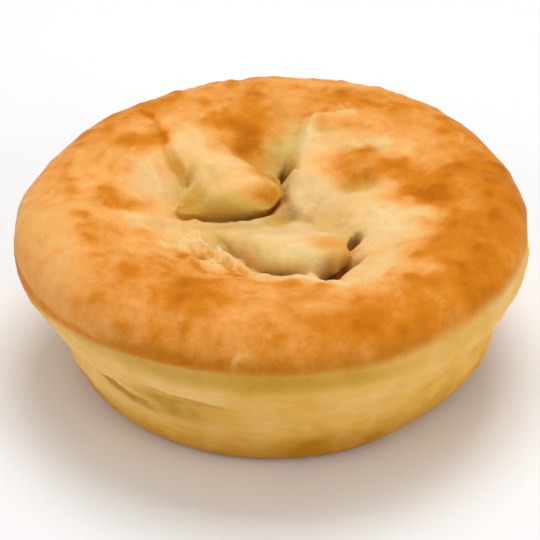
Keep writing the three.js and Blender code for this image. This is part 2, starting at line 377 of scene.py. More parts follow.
# Streaks that are browner or paler, baked tones with a painted highlight and painted shade among them as
# marked: path, half width, change of browning
LID_STREAKS = (
    (((10.2, 23.7), (18.2, 23.6), (25.9, 18.6), (28.6, 12)), 2, -0.02),
    (((7, 22), (8.6, 27), (10, 30.6), (13.9, 31.6), (17.8, 32.4)), 1.2, -0.24),
    # Painted highlight along the ridge in front of the second tongue
    (((4.8, -28), (9.1, -30.9), (12.5, -34.3), (14.8, -37.3)), 1, -0.3),
    (((-20, -14.5), (-15.5, -14.4), (-11.8, -16.6), (-10, -20.5)), 0.8, -0.15),
    (((-18.6, -22.5), (-15, -24), (-11.5, -24.6)), 0.8, -0.12),
    (((-28.5, 14), (-27, 9), (-25.2, 2)), 0.9, -0.16),
    (((-31, 34.3), (-28.3, 30.6), (-26.4, 26.9), (-24.7, 21.5)), 0.9, 0.24),
    (((-33, 13), (-29, 8.6), (-24.5, 3.4)), 1.2, -0.1),
    (((-35, 5), (-30, 2.4), (-25, -1.6)), 1.2, -0.08),
    (((-33, -8.5), (-26, -8), (-20, -8.4)), 1.8, -0.1),
    # Painted highlight along the edge of the first tongue's tip
    (((-0.6, 6.5), (1.2, 3.4)), 0.7, -0.4),
    # Painted shade on the floor in front of the first tongue
    (((-19, -8.5), (-13, -8.3), (-6.7, -7.4), (0, -5.2), (4, -3)), 2.2, 0.06),
)
# The largest of the curled flakes, on the front of the lip: X and height along it
LIP_FLAKE = ((-8.8, 34), (-8.6, 35.4), (-7.8, 36.6), (-6.4, 37.2), (-5, 37.5))
LIP_FLAKE_FRONT = -40
LIP_FLAKE_HALF = 0.55
LIP_FLAKE_STRENGTH = 2
# The other flakes: how many, between what radii, half lengths, half width and rise of their edges
FLAKES = 90
FLAKED_RING = (30, 55)
FLAKE_LENGTHS = (0.8, 2.2)
FLAKE_HALF = 0.5
FLAKE_RISE = 0.3
# Farthest from its middle that a flake's edge is worked out
FLAKE_NEAR = 9
# Bubbles of the top layer: how many, out to what radius, the radii at which they set in, their sizes
BLISTERS = 420
BLISTERED_RADIUS = 56
BLISTERED_FROM = (18, 34)
BLISTER_SIZES = (0.6, 1.9)
# How much paler a flake is, the strength of the painted highlight and shade of the torn layers, and how much
# browner a blister is
FLAKE_PALER = 0.12
TEAR_LIGHT_AND_SHADE = 0.14
BLISTER_BROWNER = 0.5
# Patch where the top layer flaked away: centre, half sizes, turn
FLAKY_PATCH = ((-14, -20), (11.5, 6.4), -50)
TEAR_WIDTH = 0.22
TEAR_RISE = 0.42
# Olive shade painted in the splits of the torn layers
TEAR_SHADE = 0.8
# Middle of the lid's sag and the distances from it between which it ends
SAG_MIDDLE = (0, -3)
SAG_REACH = (19, 42)
# Radii between which the inner dough, its crumpling and the true round of the outline end
INNER_RING = (40, 46)
CRUMPLED_RING = (28, 40)
TRUE_RING = (30, 55)
# Uneven surface of the lid: size of the lumps, strength, how far the noise is set apart, octaves
LID_WARP = (5, 0.9, 80)
LID_LUMPS = (9, 0.34)
LID_GRAIN = (2.4, 0.09)
LID_WRINKLES = (1.7, 0.1)
LID_TEARS = (3.4, 1, 40)
LID_CRUMPLE = (7, 1, 120, 4)
BROWNING_WANDER = (9, 2.2)
CRUMPLE_RISE = 0.8
CRUMPLE_ROUNDING = 0.01
# How wrinkles and tears run over the plan: X and Y parts of their two axes
WRINKLE_SLANT = ((0.5, 0.3), (-0.4, 1))
TEAR_SLANT = ((0.2, -0.5), (0.94, 0.35))
# How far damp dough is smoother than the rest
DAMP_CALM = 0.8
# Depth of a crease that takes full painted shade, and how much darker shade is painted on a tongue's face
# past half shade
FULL_SHADE_CREASE = 3.6
FACE_PAINTED_SHADE = 0.24
# Share of the sheet's cells that are even, and share that leaves smaller ones in the middle
SHEET_SPREAD = (0.7, 0.3)

# The case's foot radius, lean in degrees, and shoulder: distance out from the lip and height
CASE_FOOT = 6
CASE_LEAN = 25.4
CASE_SHOULDER = ((-0.7, 26.6), (0, 28.4), (0.1, 29.6))
# Folds of the case: angle and height along the edge, how far it stands out, shade and depth of its band
CASE_FOLDS = (
    (((212, 23.6), (220, 22), (226, 20.6), (230, 20), (234, 18.6), (243, 16)), 0.3, 1, 4),
    (((237, 24.2), (243, 24.8), (248, 24.4), (254, 23.6), (262, 22.4)), 0.5, 0.5, 1.6),
    (((226, 23.6), (232, 22.6), (240, 21.4)), 0.2, 0.4, 1),
    (((196, 11.6), (208, 10), (224, 8.6)), 0.3, 0.3, 1.4),
    (((18, 19), (34, 17.4), (52, 18.6)), 0.4, 0.3, 1.4),
    (((70, 23), (92, 21.6), (108, 22.4), (124, 21)), 0.5, 0.4, 1.6),
    (((136, 14.6), (152, 15.6), (174, 14)), 0.4, 0.3, 1.4),
)
# Over what angle a fold starts and ends, and offsets from its edge between which it stands out
FOLD_TAPER = 7
FOLD_HANG = (-0.6, 0.6, 1, 7)
# Offsets from the band's lower end and from the fold's edge between which shade is painted on the band
BAND_FOOT = (-1.6, 1)
BAND_TOP = (-1.2, 0.8)
BAND_DEPTH = 0.12
BAND_STRENGTH = 0.8
# How far the painted highlight of the hanging edge, and the painted shade of the band under it and of the
# shaded stretch, change the toasting and darken it
HANG_HIGHLIGHT, BAND_SHADE_TOAST, FOLDED_SHADE_TOAST = -0.3, 0.2, 0.08
BAND_SHADE, FOLDED_SHADE = 0.3, 0.1
# The stretch with painted shade under the second fold and the flaked stretch of the side: angle, spread, and
# the heights that they lie between
SHADED_SIDE = (245, 9)
SHADED_HEIGHTS = (12, 17, 21.5, 24)
FLAKED_SIDE = (224, 20)
FLAKED_HEIGHTS = (12, 20)
# Swellings of the case: angle and height, spread in degrees and millimetres, rise
CASE_SWELLINGS = (
    ((340, 7.5), (24, 5), 1.2),
    ((340, 18), (22, 4.4), -3.6),
    ((200, 16.4), (22, 4.6), -2.6),
    ((200, 26), (16, 3), -0.5),
    ((312, 3), (14, 5), -1),
    ((120, 14), (30, 7), 0.8),
    ((60, 18), (26, 6), 0.6),
)
# Uneven surface of the case, as the lid's, and the heights that it lies between
CASE_WANDER = (4, 0.5)
CASE_RAGGED = (5, 0.5, 30)
CASE_LUMPS = (11, 0.44)
CASE_GRAIN = (3, 0.16)
CASE_LAYERS = (2.2, 0.3)
CASE_HEIGHTS = (3, 8, 28, 31)
# Heights between which the case takes on the lid's outline
CASE_TRUE_HEIGHTS = (14, 30)
# Stretch of the layers' noise along the side and up it
LAYER_STRETCH = (2 / 9, 2)
# How far the side has toasted, how much more at its foot, and the heights between which that ends
SIDE_TOAST = 0.32
FOOT_TOAST = 0.6
FOOT_HEIGHTS = (1, 15)
TOAST_CLOUDS = (13, 0.14)
# A toasted spot: angle and height, spread, change
TOASTED_SPOT = ((279, 8), (6, 4), 0.3)
# Stretches that toasted more or less: angle, spread, change, and the heights from and to which it sets in
SIDE_TOASTS = (
    (220, 22, -0.2, 14, 24),
    (229, 15, -0.26, 18, 13),
    (330, 14, -0.2, 22, 29),
    (314, 22, 0.18, -1, 0),
    (314, 22, -0.1, 14, 25),
    (314, 22, -0.34, 12, 3),
)
# How much shade is painted on the case just under the lid: angle and share
UNDER_LIP = (
    (0, 0.1), (90, 0.3), (180, 0.1), (218, 0.1), (228, 0.4), (243, 0.7), (256, 0.9), (285, 0.9), (305, 0.2),
)
UNDER_LIP_SHADE = 0.8
UNDER_LIP_HEIGHTS = (27.5, 30, 35, 38)
# How far each open edge is drawn in before it is filled
SEAT_SHRINK = 0.92
BASE_SHRINK = 0.9
RIM_SHRINK = 0.94

# Noise of the finishes: lumps a metre, detail and stretch along the axes
BROAD_MOTTLE = (75, 4)
SPECKLE = (380, 5)
CRUMBS = (1000, 3)
CRUST_GRAIN = (1300, 4)
SIDE_STREAKS = (170, 4, (1, 1, 0.35))
SIDE_GRAIN = (900, 5)
FLOOR_CLOUDS = (6, 2)
# How far they change the browning of the crust and the toasting of the side
BROAD_STRENGTH = 0.95
BROAD_ON_DOUGH = 0.1
CRUST_MOTTLES = ((SPECKLE, 0.22), (CRUMBS, 0.16))
SIDE_MOTTLES = (((60, 4), 0.5), (SIDE_STREAKS, 0.4), ((330, 3), 0.3))
# Gloss and fine relief: roughness, what changes it, and the bump's distance and strength
PASTRY_SPECULAR = 0.04
CRUST_ROUGHNESS, BROWNED_ROUGHER, SPECKLE_ROUGHER = 0.6, -0.2, 0.12
CRUST_BUMP = (0.8 * MM, 0.4)
CRUST_GRAIN_BUMP = 0.4
DAMP_BUMP = -0.7
SIDE_ROUGHNESS, GRAIN_ROUGHER = 0.58, 0.15
SIDE_BUMP = (0.5 * MM, 0.3)
SIDE_GRAIN_BUMP = 0.5
FLOOR_ROUGHNESS = 0.7
FLOOR_DARKER = 0.985

# The stage, in metres: the point that camera and lights face, then each light's name, place, size, colour
FACED = (-1.06 * MM, 0, 20.1 * MM)
LIGHTS = (
    ("key", (0.06, 0.28, 0.88), 0.5, (1, 1, 1)),
    ("fill", (0.84, -0.5, 0.36), 0.7, (1, 1, 1)),
    ("side", (-0.76, -0.46, 0.56), 0.6, (1, 0.9, 0.8)),
)
FLOOR_SIZE = 4
SENSOR_WIDTH = 36
CLIP_START = 0.01


def srgb(colour):
    """A display colour as the linear colour that a shader socket takes."""
    linear = [c / 12.92 if c <= 0.04045 else ((c + 0.055) / 1.055) ** 2.4 for c in colour]
    return (*linear, 1)


def tone(red, green, blue):
    """A display colour from its 0 to 255 parts."""
    return (red / 255, green / 255, blue / 255)


class PieSizes(bpy.types.PropertyGroup):
    """Sizes of the pastry, from the frame's solids"""

    lid_radius: FloatProperty(
        name="Lid radius", description="Lid's radius at its lip", default=57.3 * MM, unit="LENGTH"
    )
    crest_radius: FloatProperty(
        name="Crest radius", description="Radius of the lid's highest ring", default=45 * MM, unit="LENGTH"
    )
    crest_height: FloatProperty(
        name="Crest height", description="Height of the lid's highest ring", default=42 * MM, unit="LENGTH"
    )
    lip_height: FloatProperty(
        name="Lip height", description="Height of the lid's widest line", default=32.6 * MM, unit="LENGTH"
    )
    seat_height: FloatProperty(
        name="Seat height", description="Underside of the lid", default=LID_LOW[2], unit="LENGTH"
    )
    sag: FloatProperty(
        name="Sag", description="How far the middle of the lid sinks", default=5 * MM, unit="LENGTH"
    )
    rim_height: FloatProperty(
        name="Rim height", description="Top of the case, under the lid", default=LID_LOW[2], unit="LENGTH"
    )
    base_radius: FloatProperty(
        name="Base radius", description="Radius of the flat base", default=40.6 * MM, unit="LENGTH"
    )
    lid_cells: IntProperty(
        name="Lid cells", description="Mesh cells across the lid", default=304, min=80, max=310
    )
    case_sides: IntProperty(
        name="Case sides", description="Mesh cells round the case", default=440, min=90, max=600
    )
    case_rows: IntProperty(
        name="Case rows", description="Mesh cells up the case's side", default=96, min=20, max=160
    )


class PieColours(bpy.types.PropertyGroup):
    """Baked colours of the pastry and the tints of its painted shade"""

    dough: FloatVectorProperty(
        name="Dough", description="Barely browned pastry", subtype="COLOR_GAMMA", default=tone(239, 205, 148)
    )
    straw: FloatVectorProperty(
        name="Straw", description="Lightly browned pastry", subtype="COLOR_GAMMA", default=tone(238, 188, 116)
    )
    gold: FloatVectorProperty(
        name="Gold", description="Golden pastry", subtype="COLOR_GAMMA", default=tone(237, 163, 83)
    )
    amber: FloatVectorProperty(
        name="Amber", description="Well browned pastry", subtype="COLOR_GAMMA", default=tone(214, 129, 29)
    )
    umber: FloatVectorProperty(
        name="Umber", description="Darkest pastry", subtype="COLOR_GAMMA", default=tone(190, 104, 4)
    )
    # Olive tint with which shade is painted in folds, creases, on the tongues' faces and under the lip
    fold: FloatVectorProperty(
        name="Fold", description="Tint of folds and creases",
        subtype="COLOR_GAMMA", default=tone(222, 222, 165)
    )
    # Greyer dough of the sunken middle: pale steamed pastry, with painted shade
    damp: FloatVectorProperty(
        name="Damp", description="Steamed pastry of the middle",
        subtype="COLOR_GAMMA", default=tone(225, 186, 128)
    )
    # Dark brown with which shade is painted in the slits, the holes and under the case's folds
    gap: FloatVectorProperty(
        name="Gap", description="Gravy stained depth of a slit",
        subtype="COLOR_GAMMA", default=tone(130, 82, 5)
    )
    side_pale: FloatVectorProperty(
        name="Side pale", description="Palest of the case", subtype="COLOR_GAMMA", default=tone(242, 197, 122)
    )
    side_gold: FloatVectorProperty(
        name="Side gold", description="Gold of the case", subtype="COLOR_GAMMA", default=tone(230, 176, 79)
    )
    side_brown: FloatVectorProperty(
        name="Side brown", description="Toast of the case's foot",
        subtype="COLOR_GAMMA", default=tone(188, 128, 28)
    )


class PieStage(bpy.types.PropertyGroup):
    """Camera and studio light"""

    elevation: FloatProperty(
        name="Elevation", description="Camera's angle above the floor",
        default=math.radians(35), subtype="ANGLE"
    )
    distance: FloatProperty(
        name="Distance", description="Camera to the pie's middle", default=600 * MM, unit="LENGTH"
    )
    lens: FloatProperty(name="Lens", description="Focal length in millimetres", default=176.8, min=20)
    key: FloatProperty(name="Key", description="Soft light from above and behind, in watts", default=4.7)
    fill: FloatProperty(name="Fill", description="Soft light from the front right, in watts", default=2.8)
    side: FloatProperty(name="Side", description="Weak warm light from the left, in watts", default=1.9)
    sky: FloatProperty(name="Sky", description="Strength of the white surroundings", default=0.46)
    floor: FloatVectorProperty(
        name="Floor", description="Colour of the floor", subtype="COLOR_GAMMA", default=tone(244, 246, 249)
    )


def eased(value, low, high):
    """0 at low and before it, 1 at high and past it, eased between."""
    t = np.clip((value - low) / (high - low), 0, 1)
    return t * t * (3 - 2 * t)


def between(value, low, full, last, high):
    """0 up to low, 1 from full to last and 0 again from high, eased between."""
    return eased(value, low, full) * (1 - eased(value, last, high))


def bell(offset, width):
    """1 at no offset, falling away on both sides over a width."""
    return np.exp(-((offset / width) ** 2))


def hump(x, y, centre, half, turn):
    """A rounded hump of height 1 on the plan."""
    cos, sin = math.cos(math.radians(turn)), math.sin(math.radians(turn))
    dx, dy = x - centre[0], y - centre[1]
    along = (cos * dx + sin * dy) / half[0]
    across = (cos * dy - sin * dx) / half[1]
    return np.exp(-along * along - across * across)


def patch(x, y, centre, half, turn):
    """A patch of strength 1 on the plan, flat inside and soft at its edge."""
    reach = np.sqrt(-np.log(np.maximum(hump(x, y, centre, half, turn), 1e-12)))
    return 1 - eased(reach, *PATCH_EDGE)


def strongest(x, y, rows):
    """The strongest of some patches at each spot of the plan."""
    return np.maximum.reduce([strength * patch(x, y, *where) for *where, strength in rows])


def smooth_path(points, steps=10):
    """A smooth line through the points."""
    points = np.array(points, float)
    ends = np.vstack([2 * points[0] - points[1], points, 2 * points[-1] - points[-2]])
    t = np.linspace(0, 1, steps, endpoint=False)[:, None]
    spans = []
    for a, b, c, d in zip(ends, ends[1:], ends[2:], ends[3:]):
        spans.append(
            0.5 * (2 * b + (c - a) * t + (2 * a - 5 * b + 4 * c - d) * t**2 + (3 * b - a - 3 * c + d) * t**3)
        )
    return np.vstack([*spans, points[-1:]])


def nearest(x, y, path):
    """Signed distance to a path, positive on its left hand, and the share of the way along it."""
    lengths = np.linalg.norm(np.diff(path, axis=0), axis=1)
    starts = np.concatenate([[0], np.cumsum(lengths)])
    best = np.full(x.shape, np.inf)
    side = np.zeros(x.shape)
    share = np.zeros(x.shape)
    for start, end, length, before in zip(path, path[1:], lengths, starts):
        dx, dy = (end - start) / length
        run = np.clip((x - start[0]) * dx + (y - start[1]) * dy, 0, length)
        px, py = x - start[0] - run * dx, y - start[1] - run * dy
        far = px * px + py * py
        closer = far < best
        best = np.where(closer, far, best)
        side = np.where(closer, dx * py - dy * px, side)
        share = np.where(closer, (before + run) / starts[-1], share)
    return np.where(side < 0, -1, 1) * np.sqrt(best), share


def on_path(x, y, path, half):
    """1 on a path of the plan, falling away on both sides over half its width."""
    offset, _ = nearest(x, y, smooth_path(path))
    return bell(offset, half)


def left_hand(x, y, path):
    """The direction to a path's left hand, blended between stretches that are about as near."""
    middles = (path[1:] + path[:-1]) / 2
    steps = np.diff(path, axis=0)
    lefts = np.column_stack([-steps[:, 1], steps[:, 0]]) / np.linalg.norm(steps, axis=1)[:, None]
    far = [(x - mx) ** 2 + (y - my) ** 2 + 0.4 for mx, my in middles]
    least = np.minimum.reduce(far)
    weights = [(least / f) ** 4 for f in far]
    total = sum(weights)
    nx = sum(w * left[0] for w, left in zip(weights, lefts)) / total
    ny = sum(w * left[1] for w, left in zip(weights, lefts)) / total
    return nx, ny


def round_table(angle, rows):
    """A value given at some angles, in degrees, eased round the pie."""
    angles = np.array([row[0] for row in rows], float)
    values = np.array([row[1] for row in rows], float)
    fine = np.arange(-180, 540)
    line = np.interp(fine, np.concatenate([angles - 360, angles, angles + 360]), np.tile(values, 3))
    window = np.hanning(ROUND_EASING)
    line = np.convolve(line, window / window.sum(), mode="same")
    return np.interp(angle % 360, fine, line)


def around(degrees, angle):
    """Degrees from an angle, the short way round the pie."""
    return (degrees - angle + 180) % 360 - 180


def side_hump(degrees, z, middle, spread):
    """A rounded hump of height 1 on the pie's side."""
    return bell(around(degrees, middle[0]), spread[0]) * bell(z - middle[1], spread[1])


def clouds(points, size, strength=1, apart=0, octaves=3):
    """Soft noise of a strength, whose lumps are about size wide, at points in millimetres."""
    return strength * np.array([noise.fractal(Vector(p) / size, 0.9, 2, octaves) for p in points + apart])


def slanted(x, y, slant):
    """Places of the plan on slanted axes, for noise that runs one way."""
    (first_x, first_y), (second_x, second_y) = slant
    return np.column_stack([first_x * x + first_y * y, second_x * x + second_y * y, 0 * x])


def fold_section():
    """The section across a slit on a fine ruler: sideways shift, depth of the gap, share of the lift."""
    rows = np.array(FOLD_ROWS, float)
    ruler = np.arange(-FOLD_REACH, FOLD_REACH, FOLD_STEP)
    pad = int(FOLD_SMOOTHING / FOLD_STEP)
    window = np.hanning(2 * pad + 1)
    lines = []
    for column in (rows[:, 1] - rows[:, 0], rows[:, 2], rows[:, 3]):
        line = np.interp(ruler, rows[:, 0], column)
        lines.append(np.convolve(np.pad(line, pad, mode="edge"), window / window.sum(), mode="valid"))
    return ruler, lines


def fold_tongues(x, y):
    """Slits the flat sheet: new places, lift, painted shade of the slit and of the tongue's face, and how far
    each spot is floor and sheltered.
    """
    ruler, (shift, depth, share_up) = fold_section()
    new_x, new_y = x.copy(), y.copy()
    lifts = []
    gap = np.zeros(x.shape)
    face_shade = np.zeros(x.shape)
    floor = np.ones(x.shape)
    shelter = np.ones(x.shape)
    for tongue in TONGUES:
        path = smooth_path(tongue["path"])
        offset, share = nearest(x, y, path)
        shares, gapes = zip(*tongue["gape"])
        gape = np.interp(share, shares, gapes)
        nx, ny = left_hand(x, y, path)
        move = np.interp(offset, ruler, shift) * gape
        new_x += nx * move
        new_y += ny * move
        up = np.interp(offset, ruler, share_up)
        hollow = np.interp(offset, ruler, depth) * gape
        lifts.append((tongue, up, hollow))
        # Shade painted in a slit, darker the deeper the slit
        gap = np.maximum(gap, (hollow / depth.min()) ** 2)
        face = between(offset, *TONGUE_FACE)
        # Olive shade painted on each tongue's face over the open slit
        face_shade = np.maximum(face_shade, tongue["face_shade_strength"] * eased(gape, 0, OPEN_GAPE) * face)
        on_tongue = offset < FOLD_REACH
        floor *= 1 - eased(offset, *FLOOR_ENDS) * on_tongue
        shelter *= 1 - eased(offset, *SHELTER_ENDS) * on_tongue
    height = np.zeros(x.shape)
    for tongue, up, depth_here in lifts:
        start, end, thinner = tongue["thins"]
        lift = tongue["lift"] * (1 - thinner * eased(new_x, start, end))
        lift *= 1 - eased(new_y, *tongue["falls"])
        for ridge, fall, width in tongue["ridges"]:
            past_ridge, _ = nearest(new_x, new_y, smooth_path(ridge))
            lift *= 1 - fall * eased(past_ridge, 0, width)
        height += lift * up + depth_here
    return new_x, new_y, height, gap, face_shade, floor, shelter


def lid_meridian(sizes):
    """The lid's profile by distance along it, from the axis over the crest and round the lip to the seat."""
    crest, top = sizes.crest_radius / MM, sizes.crest_height / MM
    lip, low = sizes.lid_radius / MM, sizes.lip_height / MM
    turn = np.linspace(0, math.pi / 2, 60)[1:]
    radius = np.concatenate([[0, crest], crest + (lip - crest) * np.sin(turn), [lip]])
    height = np.concatenate([[top, top], low + (top - low) * np.cos(turn), [sizes.seat_height / MM]])
    run = np.concatenate([[0], np.cumsum(np.hypot(np.diff(radius), np.diff(height)))])
    return run, radius, height


def blisters(x, y, radius):
    """Small bubbles of the top layer, most of them on the rim."""
    rng = np.random.default_rng(SEED)
    height = np.zeros(x.shape)
    for _ in range(BLISTERS):
        angle = rng.uniform(0, 2 * math.pi)
        out = math.sqrt(rng.uniform(0.3, 1)) * BLISTERED_RADIUS
        size = rng.uniform(*BLISTER_SIZES)
        rise = rng.uniform(0.1, 0.2) * size
        stretch = rng.uniform(0.7, 1.5)
        centre = (out * math.cos(angle), out * math.sin(angle))
        height += rise * hump(x, y, centre, (size * stretch, size / stretch), math.degrees(angle) + 90)
    return height * eased(radius, *BLISTERED_FROM)


def flakes(x, y):
    """Thin curled edges where the top layer split, 1 on each edge."""
    rng = np.random.default_rng(SEED + 1)
    edges = []
    for _ in range(FLAKES):
        angle = rng.uniform(0, 2 * math.pi)
        out = rng.uniform(*FLAKED_RING)
        turn = angle + rng.uniform(0.6, 2.5)
        bend = rng.uniform(-0.5, 0.5)
        spot = np.array([out * math.cos(angle), out * math.sin(angle)])
        reach = rng.uniform(*FLAKE_LENGTHS) * np.array([math.cos(turn), math.sin(turn)])
        edges.append((spot - reach, spot + bend * reach[::-1] * (1, -1), spot + reach))
    height = np.zeros(x.shape)
    for edge in edges:
        path = smooth_path(edge, 4)
        close = np.hypot(x - path[:, 0].mean(), y - path[:, 1].mean()) < FLAKE_NEAR
        offset, share = nearest(x[close], y[close], path)
        height[close] += bell(offset, FLAKE_HALF) * np.sin(math.pi * np.clip(share, 0.05, 0.95))
    return height


def lip_flake(x, y, rise):
    """The largest of the curled edges, on the front of the lip."""
    height = np.zeros(x.shape)
    front = y < LIP_FLAKE_FRONT
    offset, share = nearest(x[front], rise[front], smooth_path(LIP_FLAKE))
    edge = bell(offset, LIP_FLAKE_HALF) * np.sin(math.pi * np.clip(share, 0.1, 0.9))
    height[front] = LIP_FLAKE_STRENGTH * edge
    return height


def new_piece(name):
    """Names the active object and its mesh."""
    piece = bpy.context.object
    piece.name = name
    piece.data.name = name
    return piece


def places(piece):
    """The piece's vertices as an array."""
    flat = np.empty(len(piece.data.vertices) * 3, np.float32)
    piece.data.vertices.foreach_get("co", flat)
    return flat.reshape(-1, 3).astype(float)


def place(piece, points):
    """Moves the piece's vertices to points."""
    piece.data.vertices.foreach_set("co", np.asarray(points, np.float32).ravel())
    piece.data.update()


def mark(piece, name, values):
    """Stores a value for each vertex, for the material to read."""
    attribute = piece.data.attributes.new(name, "FLOAT", "POINT")
    attribute.data.foreach_set("value", np.clip(values, 0, 1).astype(np.float32))


def select_rim(piece, height, tolerance=0.02 * MM):
    """In edit mode, selects the open edge loop that lies at a height."""
    bpy.ops.object.mode_set(mode="EDIT")
    bpy.ops.mesh.select_mode(type="EDGE")
    bpy.ops.mesh.select_all(action="DESELECT")
    bpy.ops.mesh.select_non_manifold()
    bpy.ops.object.mode_set(mode="OBJECT")
    for edge in piece.data.edges:
        level = piece.data.vertices[edge.vertices[0]].co.z
        edge.select = edge.select and abs(level - height) < tolerance
    bpy.ops.object.mode_set(mode="EDIT")


def close_rim(piece, height, shrink):
    """Turns the open edge at a height inwards and fills it."""
    select_rim(piece, height)
    bpy.ops.mesh.extrude_edges_move()
    bpy.ops.transform.resize(value=(shrink, shrink, 1))
    bpy.ops.mesh.edge_face_add()
    bpy.ops.mesh.select_all(action="SELECT")
    bpy.ops.mesh.normals_make_consistent(inside=False)
    bpy.ops.object.mode_set(mode="OBJECT")


def disc_from_square(points):
    """Draws a square sheet out into a round one of radius 1: angle and radius of each point."""
    a, b = points[:, 0], points[:, 1]
    wide = np.abs(a) > np.abs(b)
    safe_a = np.where(a == 0, 1e-9, a)
    safe_b = np.where(b == 0, 1e-9, b)
    radius = np.where(wide, a, b)
    angle = np.where(wide, math.pi / 4 * b / safe_a, math.pi / 2 - math.pi / 4 * a / safe_b)
    angle = np.where(radius < 0, angle + math.pi, angle)
    return angle, np.abs(radius)


def lid_sheet(piece, sizes):
    """Lays the flat sheet along the lid's profile: angle, radius, height and outward lean of each point."""
    angle, share = disc_from_square(places(piece))
    run, profile_radius, profile_height = lid_meridian(sizes)
    even, gathered = SHEET_SPREAD
    walked = run[-1] * (even * share + gathered * share**3)
    radius = np.interp(walked, run, profile_radius)
    rise = np.interp(walked, run, profile_height)
    slope = np.interp(walked, run, np.gradient(profile_height, run))
    return angle, radius, rise, -np.clip(slope, -1, 0)


def torn_layers(x, y, floor):
    """The torn edges of the flaky patch, -1 to 1, and how far each spot lies in the patch."""
    tears = np.abs(clouds(slanted(x, y, TEAR_SLANT), *LID_TEARS))
    return np.clip(1 - tears / TEAR_WIDTH, -1, 1), hump(x, y, *FLAKY_PATCH) * floor


def lid_relief(x, y, radius, damp):
    """Height of the lid's swellings, ridges, creases and uneven surface."""
    flat = np.column_stack([x, y, 0 * x])
    warp = clouds(flat, *LID_WARP)
    calm = 1 - DAMP_CALM * damp
    height = clouds(flat, *LID_LUMPS) + calm * clouds(flat, *LID_GRAIN)
    for *where, rise in LID_SWELLINGS:
        height += rise * hump(x + warp, y - warp, *where)
    for path, half, rise in LID_RIDGES:
        height += rise * on_path(x + warp, y - warp, path, half)
    crumple = np.sqrt(clouds(flat, *LID_CRUMPLE) ** 2 + CRUMPLE_ROUNDING)
    height += CRUMPLE_RISE * crumple * (1 - eased(radius, *CRUMPLED_RING)) * (1 + calm) / 2
    wrinkles = clouds(slanted(x, y, WRINKLE_SLANT), *LID_WRINKLES)
    return height + wrinkles * (1 - eased(radius, *INNER_RING)) * calm


def groove(degrees, z):
    """Depth of the groove under the lip."""
    return round_table(degrees, GROOVE) * bell(z - GROOVE_HEIGHT, GROOVE_HALF)


def brown_reach(degrees, z):
    """1 where the brown reaches, fading to 0 down the pie's edge."""
    foot = round_table(degrees, BROWN_FOOT)
    fade = round_table(degrees, BROWN_FADE)
    return eased(z, foot - fade, foot + fade)


def lid_browning_and_shading(x, y, z, degrees, radius, sizes):
    """How far each spot of the lid has browned, 0 to 1, with the painted light and shade of some patches and
    streaks.
    """
    wander = clouds(np.column_stack([x, y, 0 * x]), *BROWNING_WANDER)
    pale_to = round_table(degrees, PALE_LIMITS) - PALE_LEAD
    rim = eased(radius + wander, pale_to, pale_to + round_table(degrees, PALE_FADES))
    browning = DOUGH_BROWNING + (round_table(degrees, RIM_TONES) - DOUGH_BROWNING) * rim
    for *where, change in LID_TONES:
        browning += change * patch(x + wander, y + wander, *where)
    for path, half, change in LID_STREAKS:
        browning += change * on_path(x, y, path, half)
    over_lip = z - sizes.lip_height / MM
    browning += round_table(degrees, LIP_TONES) * (1 - eased(over_lip, *LIP_TONE_HEIGHTS))
    over_foot = z - round_table(degrees, BROWN_FOOT)
    return browning + round_table(degrees, LIP_LINES) * (1 - eased(over_foot, *LIP_LINE_HEIGHTS))


def lid_fold_shade(x, y, radius, face_shade, torn, flaky):
    """How much olive shade is painted on the lid's sheltered dough, 0 to 1."""
    creases = []
    for path, half, rise in LID_RIDGES:
        if rise < 0:
            creases.append(-rise / FULL_SHADE_CREASE * on_path(x, y, path, half))
    split = TEAR_SHADE * flaky * eased(-torn, 0, 0.9)
    inner = 1 - eased(radius, *INNER_RING)
    return np.maximum.reduce([face_shade, split, strongest(x, y, LID_OLIVE_SHADE), *creases]) * inner


def lid_painted_shade(x, y, z, gap, face_shade):
    """How much dark shade is painted on each spot of the lid, 0 to 1."""
    under, over = SHADE_FADE
    shades = []
    for *where, strength, top in LID_PAINTED_SHADES:
        shades.append(strength * patch(x, y, *where) * (1 - eased(z, top + under, top + over)))
    return np.maximum.reduce([gap, FACE_PAINTED_SHADE * (face_shade - 0.5), *shades])


def side_toast(degrees, z, cloth):
    """How far each spot of the pie's side has toasted, 0 to 1."""
    toast = SIDE_TOAST + FOOT_TOAST * (1 - eased(z, *FOOT_HEIGHTS)) + clouds(cloth, *TOAST_CLOUDS)
    *where, change = TOASTED_SPOT
    toast += change * side_hump(degrees, z, *where)
    for angle, spread, change, start, end in SIDE_TOASTS:
        toast += change * bell(around(degrees, angle), spread) * eased(z, start, end)
    return toast


def side_shade(degrees, z):
    """How much shade is painted on the pie's side in the shelter of the lip, 0 to 1."""
    return UNDER_LIP_SHADE * between(z, *UNDER_LIP_HEIGHTS) * round_table(degrees, UNDER_LIP)


